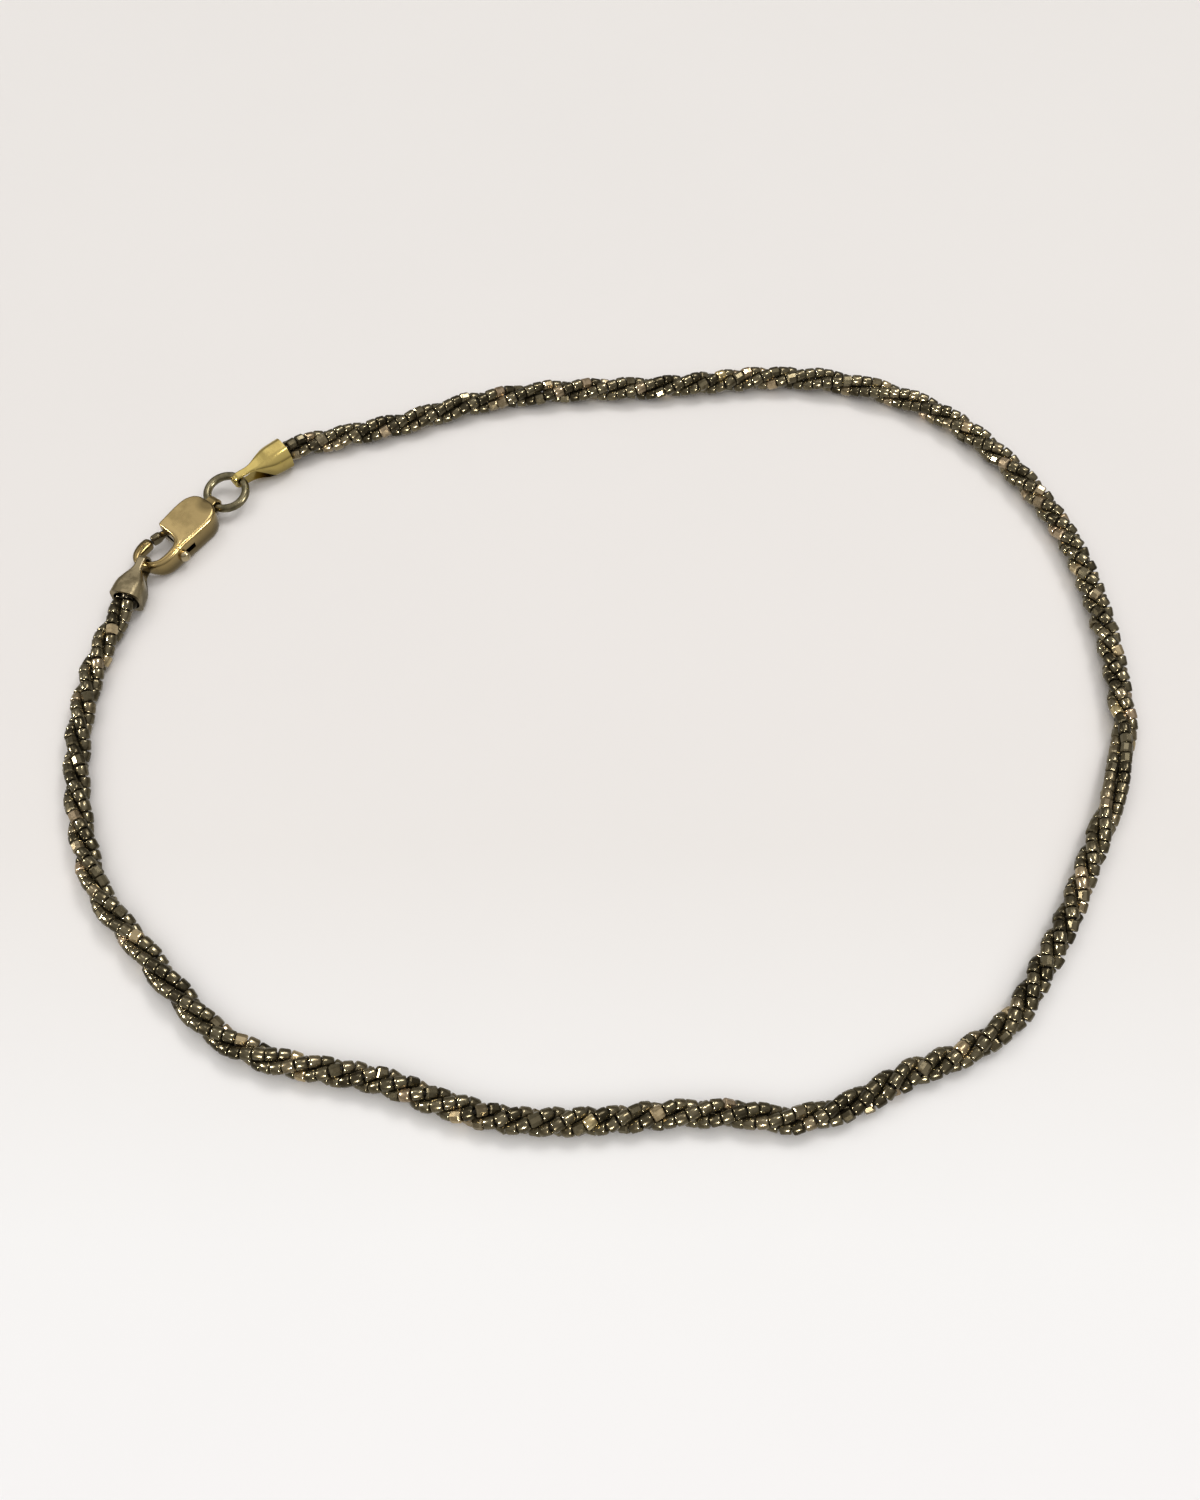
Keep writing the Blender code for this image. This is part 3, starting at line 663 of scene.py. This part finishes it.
# %% Clasp body
CLASP_ROWS = [
    (0.69, 0.76, 1.25, 0.15, 1.15, 0.26), (0.63, -0.36, 1.25, 0.10, 1.15, 0.26),
    (0.86, -1.01, 1.40, 0.05, 1.15, 0.26), (1.39, -1.44, 1.75, 0.00, 1.15, 0.24),
    (2.05, -1.62, 2.25, 0.05, 1.15, 0.22), (2.97, -1.68, 3.00, 0.05, 1.15, 0.20),
    (3.96, -1.68, 3.80, 0.05, 1.15, 0.20), (4.74, -1.66, 4.35, 0.10, 1.15, 0.18),
    (4.93, -1.50, 4.45, 0.15, 1.15, 0.18), (5.00, -1.08, 4.50, 0.25, 1.15, 0.20),
    (5.08, -0.50, 4.62, 0.50, 1.15, 0.22), (5.20, 0.05, 4.80, 0.75, 1.14, 0.24),
    (5.45, 0.50, 5.10, 0.98, 1.12, 0.28), (5.90, 0.76, 5.75, 1.17, 1.08, 0.32),
    (6.60, 0.79, 6.50, 1.20, 1.02, 0.34), (7.25, 0.69, 7.39, 1.08, 0.94, 0.34),
    (7.67, 0.51, 7.92, 0.79, 0.84, 0.32), (7.96, 0.14, 8.26, 0.29, 0.70, 0.30),
    (8.18, -0.38, 8.47, -0.29, 0.56, 0.27), (8.33, -0.79, 8.61, -0.79, 0.50, 0.25),
    (8.26, -1.06, 8.48, -1.26, 0.50, 0.26), (7.88, -1.20, 8.02, -1.57, 0.52, 0.34),
    (7.35, -1.25, 7.39, -1.70, 0.54, 0.40), (6.82, -1.24, 6.92, -1.70, 0.54, 0.42),
    (6.42, -1.30, 6.74, -1.69, 0.50, 0.38), (6.22, -1.68, 6.72, -1.69, 0.48, 0.38),
    (6.40, -2.08, 6.74, -1.69, 0.50, 0.38), (6.84, -2.18, 6.95, -1.70, 0.54, 0.42),
    (7.44, -2.16, 7.39, -1.70, 0.54, 0.40), (8.16, -1.93, 8.02, -1.57, 0.52, 0.34),
    (8.70, -1.43, 8.48, -1.26, 0.49, 0.25), (8.89, -0.79, 8.61, -0.79, 0.50, 0.25),
    (8.76, -0.20, 8.47, -0.29, 0.56, 0.27), (8.56, 0.44, 8.26, 0.29, 0.70, 0.30),
    (8.17, 1.07, 7.92, 0.79, 0.84, 0.32), (7.53, 1.47, 7.39, 1.08, 0.94, 0.36),
    (6.80, 1.61, 6.73, 1.19, 1.02, 0.38), (6.07, 1.62, 6.07, 1.21, 1.08, 0.38),
    (5.61, 1.64, 5.50, 1.15, 1.12, 0.38), (4.42, 1.75, 4.40, 0.50, 1.15, 0.38),
    (3.23, 1.85, 3.20, 0.25, 1.15, 0.38), (2.24, 1.90, 2.40, 0.15, 1.15, 0.38),
    (1.52, 1.73, 1.80, 0.10, 1.15, 0.34), (1.02, 1.35, 1.40, 0.12, 1.15, 0.30),
]
CROWN = 0.05
BACK_SHARE = 0.86
CROWN_SHARE = 0.87


def clasp_skin():
    """Rings q inwards at height z; the rounded edge is q = r(1 − cos t), z = h − r(1 − sin t)."""
    rows = smooth(CLASP_ROWS, 7, closed=True)
    edge, centre = rows[:, :2], rows[:, 2:4]
    lean = centre - edge
    reach = np.linalg.norm(lean, axis=1)
    lean /= reach[:, None]
    height = rows[:, 4]
    radius = np.minimum(rows[:, 5], BACK_SHARE * reach)
    top = height - CROWN
    turns = np.radians([0.0, 18.0, 36.0, 54.0, 72.0, 90.0])
    profile = [(BACK_SHARE * reach, -height), (np.minimum(0.30, 0.7 * reach), -height),
               (0.10 + 0 * reach, -0.94 * height), (0.03 + 0 * reach, -0.78 * height),
               (0 * reach, -0.45 * height), (0 * reach, 0 * height)]
    profile += [(radius * (1 - math.cos(t)), top - radius * (1 - math.sin(t))) for t in turns]
    for share in (0.30, 0.60, 1.0):
        q = radius + share * (CROWN_SHARE * reach - radius)
        profile.append((q, top + CROWN * math.sin(share * math.pi / 2)))
    rings = [np.column_stack([edge + lean * q[:, None], BODY_MIDDLE + z]) for q, z in profile]
    return skin("clasp_form", rings, CLASP)


def prism(name, outline, low, high, matrix):
    """Outline in x and y raised from low to high."""
    outline = np.asarray(outline, dtype=float)
    rings = np.stack([np.column_stack([outline, np.full(len(outline), z)]) for z in (low, high)])
    return skin(name, rings, matrix)


EYE_RADIUS = 0.70
EYE_HOLE = 0.50
EYE_HALF = 0.45
EYE_NECK = 0.95
RIM = 0.06


def eye_strap():
    """Strap of the eye: the outline in x and z carried across, its rims a little smaller."""
    bend = np.radians(np.linspace(90.0, 270.0, 31))
    rings = []
    for y, radius in ((-EYE_HALF, EYE_RADIUS - RIM), (RIM - EYE_HALF, EYE_RADIUS),
                      (EYE_HALF - RIM, EYE_RADIUS), (EYE_HALF, EYE_RADIUS - RIM)):
        x = np.concatenate([radius * np.cos(bend), [EYE_NECK, EYE_NECK]])
        z = np.concatenate([radius * np.sin(bend), [-radius, radius]])
        rings.append(np.column_stack([x, np.full(len(x), y), z]))
    return skin("eye strap", rings, CLASP @ frame_at(*EYE_SPOT))


def eye_hole():
    """Round bar across the eye."""
    angle = 2 * np.pi * np.arange(40) / 40
    x, z = EYE_HOLE * np.cos(angle), EYE_HOLE * np.sin(angle)
    rings = [np.column_stack([x, np.full(40, y), z]) for y in (-2 * EYE_HALF, 2 * EYE_HALF)]
    return skin("eye hole", rings, CLASP @ frame_at(*EYE_SPOT))


PIVOT = (4.15, -1.00)
SLOT = [(3.42, -2.2), (5.95, -2.2), (5.95, 0.40), (6.27, 1.25), (6.27, 2.4), (4.50, 2.4), (4.20, 0.60),
        (3.42, -0.40)]
SLOT_HALF = 0.28
slot = prism("slot", SLOT, BODY_MIDDLE - SLOT_HALF, BODY_MIDDLE + SLOT_HALF, CLASP)
body = joined(clasp_skin(), [(eye_strap(), "UNION"), (eye_hole(), "DIFFERENCE"), (slot, "DIFFERENCE")])
finish_piece(body, CLASP_GOLD, "anklet", "clasp_body")

# %% [markdown]
# ## Lever
# The gate arm, the hub and the thumb nub are one casting, and the nub ends in a rounded knob that thumbs
# have worn bright. The rows of both arms give the place along the arm, the place across it, and half the
# width and half the height there.

# %% Clasp lever
HUB_RADIUS = 0.55
HUB_HALF = 0.24
PIN_HOLE = 0.30
GATE_ANGLE = -15.0
GATE_ROWS = [
    (-0.05, 0, 0.36, 0.22), (0.7, 0, 0.33, 0.23), (1.10, 0, 0.31, 0.30), (1.40, 0, 0.32, 0.52),
    (1.86, 0, 0.32, 0.54), (2.06, 0, 0.29, 0.50), (2.15, 0, 0.20, 0.38),
]
NUB_ANGLE = 58.7
NUB_ROWS = [
    (0.05, 0, 0.27, 0.23), (1.4, 0, 0.27, 0.23), (2.76, 0, 0.28, 0.23), (3.04, 0, 0.38, 0.44),
    (3.24, 0, 0.46, 0.55), (3.44, 0, 0.42, 0.50), (3.58, 0, 0.29, 0.36), (3.64, 0, 0.13, 0.17),
]


def bar(name, rows, squareness, matrix, sides=24):
    """Bar along x: sections |y/w|^n + |z/h|^n = 1, from rows of along, across, half width and height."""
    rows = smooth(rows, 6)
    angle = 2 * np.pi * (np.arange(sides) + 0.5) / sides
    across = np.sign(np.cos(angle)) * np.abs(np.cos(angle)) ** (2 / squareness)
    up = np.sign(np.sin(angle)) * np.abs(np.sin(angle)) ** (2 / squareness)
    along, middle, half_width, half_height = (rows[:, column, None] for column in range(4))
    rings = np.stack([along + 0 * across, middle + half_width * across, half_height * up], axis=-1)
    return skin(name, rings, matrix)


def clasp_lever():
    """Hub, gate arm and nub as one closed mesh."""
    angle = 2 * np.pi * np.arange(32) / 32
    circle = np.column_stack([np.cos(angle), np.sin(angle)])
    low, high = BODY_MIDDLE - HUB_HALF, BODY_MIDDLE + HUB_HALF
    hub = prism("lever_form", PIVOT + HUB_RADIUS * circle, low, high, CLASP)
    hole = prism("lever hole", PIVOT + PIN_HOLE * circle, 0.2, 2.2, CLASP)
    gate = bar("gate", GATE_ROWS, 3.0, CLASP @ frame_at(*PIVOT, BODY_MIDDLE, GATE_ANGLE))
    nub = bar("nub", NUB_ROWS, 2.4, CLASP @ frame_at(*PIVOT, BODY_MIDDLE, NUB_ANGLE))
    return joined(hub, [(gate, "UNION"), (nub, "UNION"), (hole, "DIFFERENCE")])


finish_piece(clasp_lever(), LEVER, "lever", "clasp_lever")
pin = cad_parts["lever_pin"]
pin.data.materials.clear()
pin.data.materials.append(STEEL)
print("pin keeps its own solid")

# %% [markdown]
# ## Table, lamps and camera
# The anklet lies on a pale table with painted light: brighter and cooler at the front. A soft main sun
# stands behind on the right and a weak one behind on the left, for the rope and the table. The clasp, the
# ring and the caps have suns of their own, because their flat faces would send the main one straight back.
# A wide ceiling light fills the table alone. Small lamps put the sparks on the beads and the bright lines on
# the edges of the fittings. The table is left out of the reflections, and the room takes its place: pale low
# down, dark near the horizon and pale overhead, so that the metal shows its form.

# %% Table
TABLE_HALF = 3000.0
TABLE_DEPTH = 70.0
# Painted light: the table is brighter and cooler at the front.
TABLE_PAINTED_LIGHT = [
    (0.0, (0.868, 0.861, 0.888)), (0.20, (0.860, 0.861, 0.878)), (0.41, (0.780, 0.760, 0.755)),
    (0.50, (0.778, 0.756, 0.753)), (1.0, (0.770, 0.752, 0.749)),
]


def table_surface():
    """Matt surface: painted light makes its tone change slowly from front to back, brighter and cooler in
    front; faint patches lie over it.
    """
    material = bpy.data.materials.new("pale table")
    material.use_nodes = True
    tree = material.node_tree
    shader = tree.nodes["Principled BSDF"]
    place = tree.nodes.new("ShaderNodeTexCoord").outputs["Object"]
    patches = group_node(tree, TARNISH, Scale=25.0, Low=0.3, High=0.7)
    tree.links.new(place, patches.inputs["Vector"])
    split = tree.nodes.new("ShaderNodeSeparateXYZ")
    tree.links.new(place, split.inputs["Vector"])
    depth = mapped(tree, split.outputs["Y"], -TABLE_DEPTH * MM, TABLE_DEPTH * MM, 0.0, 1.0)
    painted_tone = colour_ramp(tree, depth, TABLE_PAINTED_LIGHT)
    duller = mix_colours(tree, 1.0, painted_tone, (0.99, 0.99, 0.99), "MULTIPLY")
    colour = mix_colours(tree, patches.outputs["Mask"], painted_tone, duller)
    tree.links.new(colour, shader.inputs["Base Color"])
    shader.inputs["Roughness"].default_value = 0.65
    shader.inputs["Specular IOR Level"].default_value = 0.25
    return material


corners = TABLE_HALF * np.array([(-1, -1, 0), (1, -1, 0), (1, 1, 0), (-1, 1, 0)])
table = mesh_object("table", corners, [[0, 1, 2, 3]])
table.data.materials.append(table_surface())
table.visible_glossy = False
table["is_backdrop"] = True
print("table ready")

# %% Lamps


def aimed(name, lamp, direction, distance, only):
    """Lamp that looks at the middle from a direction; it may light only one collection."""
    obj = bpy.data.objects.new(name, lamp)
    bpy.context.scene.collection.objects.link(obj)
    away = unit(np.array(direction, dtype=float))
    obj.location = (away * distance * MM).tolist()
    slant = math.atan2(math.hypot(away[0], away[1]), away[2])
    obj.rotation_euler = (slant, 0.0, math.atan2(away[0], -away[1]))
    if only:
        obj.light_linking.receiver_collection = only
    return obj


def sun(name, direction, strength, width, only=None):
    """Even light over the whole table; its width in degrees makes the shadows soft."""
    lamp = bpy.data.lights.new(name, "SUN")
    lamp.energy = strength
    lamp.angle = math.radians(width)
    lamp.color = (1.0, 0.985, 0.96)
    return aimed(name, lamp, direction, 300.0, only)


def spark(name, direction, power, size, only):
    """Small lamp that makes the highlights of the metal."""
    lamp = bpy.data.lights.new(name, "AREA")
    lamp.shape = "DISK"
    lamp.size = size * MM
    lamp.energy = power
    lamp.color = (1.0, 0.975, 0.90)
    return aimed(name, lamp, direction, 400.0, only)


def light_group(name, objects):
    """Collection of the objects that some lamps light alone."""
    group = bpy.data.collections.new(name)
    for obj in objects:
        group.objects.link(obj)
    return group


ROPE = ("beads", "thread")
rope = [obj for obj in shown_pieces() if obj.name.startswith(ROPE)]
beads_only = light_group("beads only", [obj for obj in rope if obj.name.startswith("beads")])
fittings = light_group("fittings", [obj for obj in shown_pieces() if not obj.name.startswith(ROPE)])
rope_and_table = light_group("rope and table", [table] + rope)
table_only = light_group("table only", [table])
sun("sun right", (0.40, 0.43, 0.81), 0.76, 19.0, rope_and_table)
sun("sun left", (-0.30, 0.50, 0.81), 0.12, 19.0, rope_and_table)
sun("fittings right", (0.30, 0.47, 0.83), 0.50, 24.0, fittings)
sun("fittings sheen", (-0.30, 0.60, 0.74), 0.12, 40.0, fittings)
sun("ceiling", (0.0, -0.1, 1.0), 1.56, 100.0, table_only)
spark("spark low left", (-0.93, 0.10, 0.36), 1.9, 52.0, beads_only)
spark("spark front", (-0.10, -0.90, 0.42), 1.5, 52.0, beads_only)
spark("spark above", (0.16, 0.16, 0.97), 0.6, 44.0, beads_only)
spark("edge left", (-0.86, -0.10, 0.50), 0.6, 60.0, fittings)
spark("edge right", (0.86, -0.15, 0.46), 0.7, 60.0, fittings)
spark("edge above", (0.30, 0.0, 0.95), 0.14, 50.0, fittings)
print("lamps ready")

# %% Room
ROOM_TONES = [
    (0.0, (0.52, 0.50, 0.46)), (0.42, (0.40, 0.385, 0.35)), (0.55, (0.13, 0.12, 0.10)),
    (0.75, (0.30, 0.29, 0.27)), (1.0, (0.50, 0.485, 0.46)),
]
BACKDROP = (0.84, 0.80, 0.75)


def room():
    """World whose tone follows (z + 1) / 2 of the direction; the camera itself sees a plain backdrop."""
    world = bpy.data.worlds.new("room")
    world.use_nodes = True
    tree = world.node_tree
    surroundings = tree.nodes["Background"]
    split = tree.nodes.new("ShaderNodeSeparateXYZ")
    tree.links.new(tree.nodes.new("ShaderNodeTexCoord").outputs["Generated"], split.inputs["Vector"])
    climb = mapped(tree, split.outputs["Z"], -1.0, 1.0, 0.0, 1.0)
    tree.links.new(colour_ramp(tree, climb, ROOM_TONES), surroundings.inputs["Color"])
    backdrop = tree.nodes.new("ShaderNodeBackground")
    backdrop.inputs["Color"].default_value = (*BACKDROP, 1.0)
    path = tree.nodes.new("ShaderNodeLightPath")
    choice = tree.nodes.new("ShaderNodeMixShader")
    tree.links.new(path.outputs["Is Camera Ray"], choice.inputs["Fac"])
    tree.links.new(surroundings.outputs["Background"], choice.inputs[1])
    tree.links.new(backdrop.outputs["Background"], choice.inputs[2])
    tree.links.new(choice.outputs["Shader"], tree.nodes["World Output"].inputs["Surface"])
    return world


bpy.context.scene.world = room()
print("room ready")

# %% Camera
CAMERA_PLACE = (-0.235, -59.60, 104.53)
CAMERA_TILT = 28.0
camera_data = bpy.data.cameras.new("camera")
camera_data.lens = 35.18
camera_data.sensor_width = 36.0
camera_data.clip_start = 0.001
camera = bpy.data.objects.new("camera", camera_data)
camera.location = [value * MM for value in CAMERA_PLACE]
camera.rotation_euler = (math.radians(CAMERA_TILT), 0.0, 0.0)
bpy.context.scene.collection.objects.link(camera)
bpy.context.scene.camera = camera
bpy.context.scene.view_settings.view_transform = "Standard"
print("camera at", [round(value, 4) for value in camera.location])
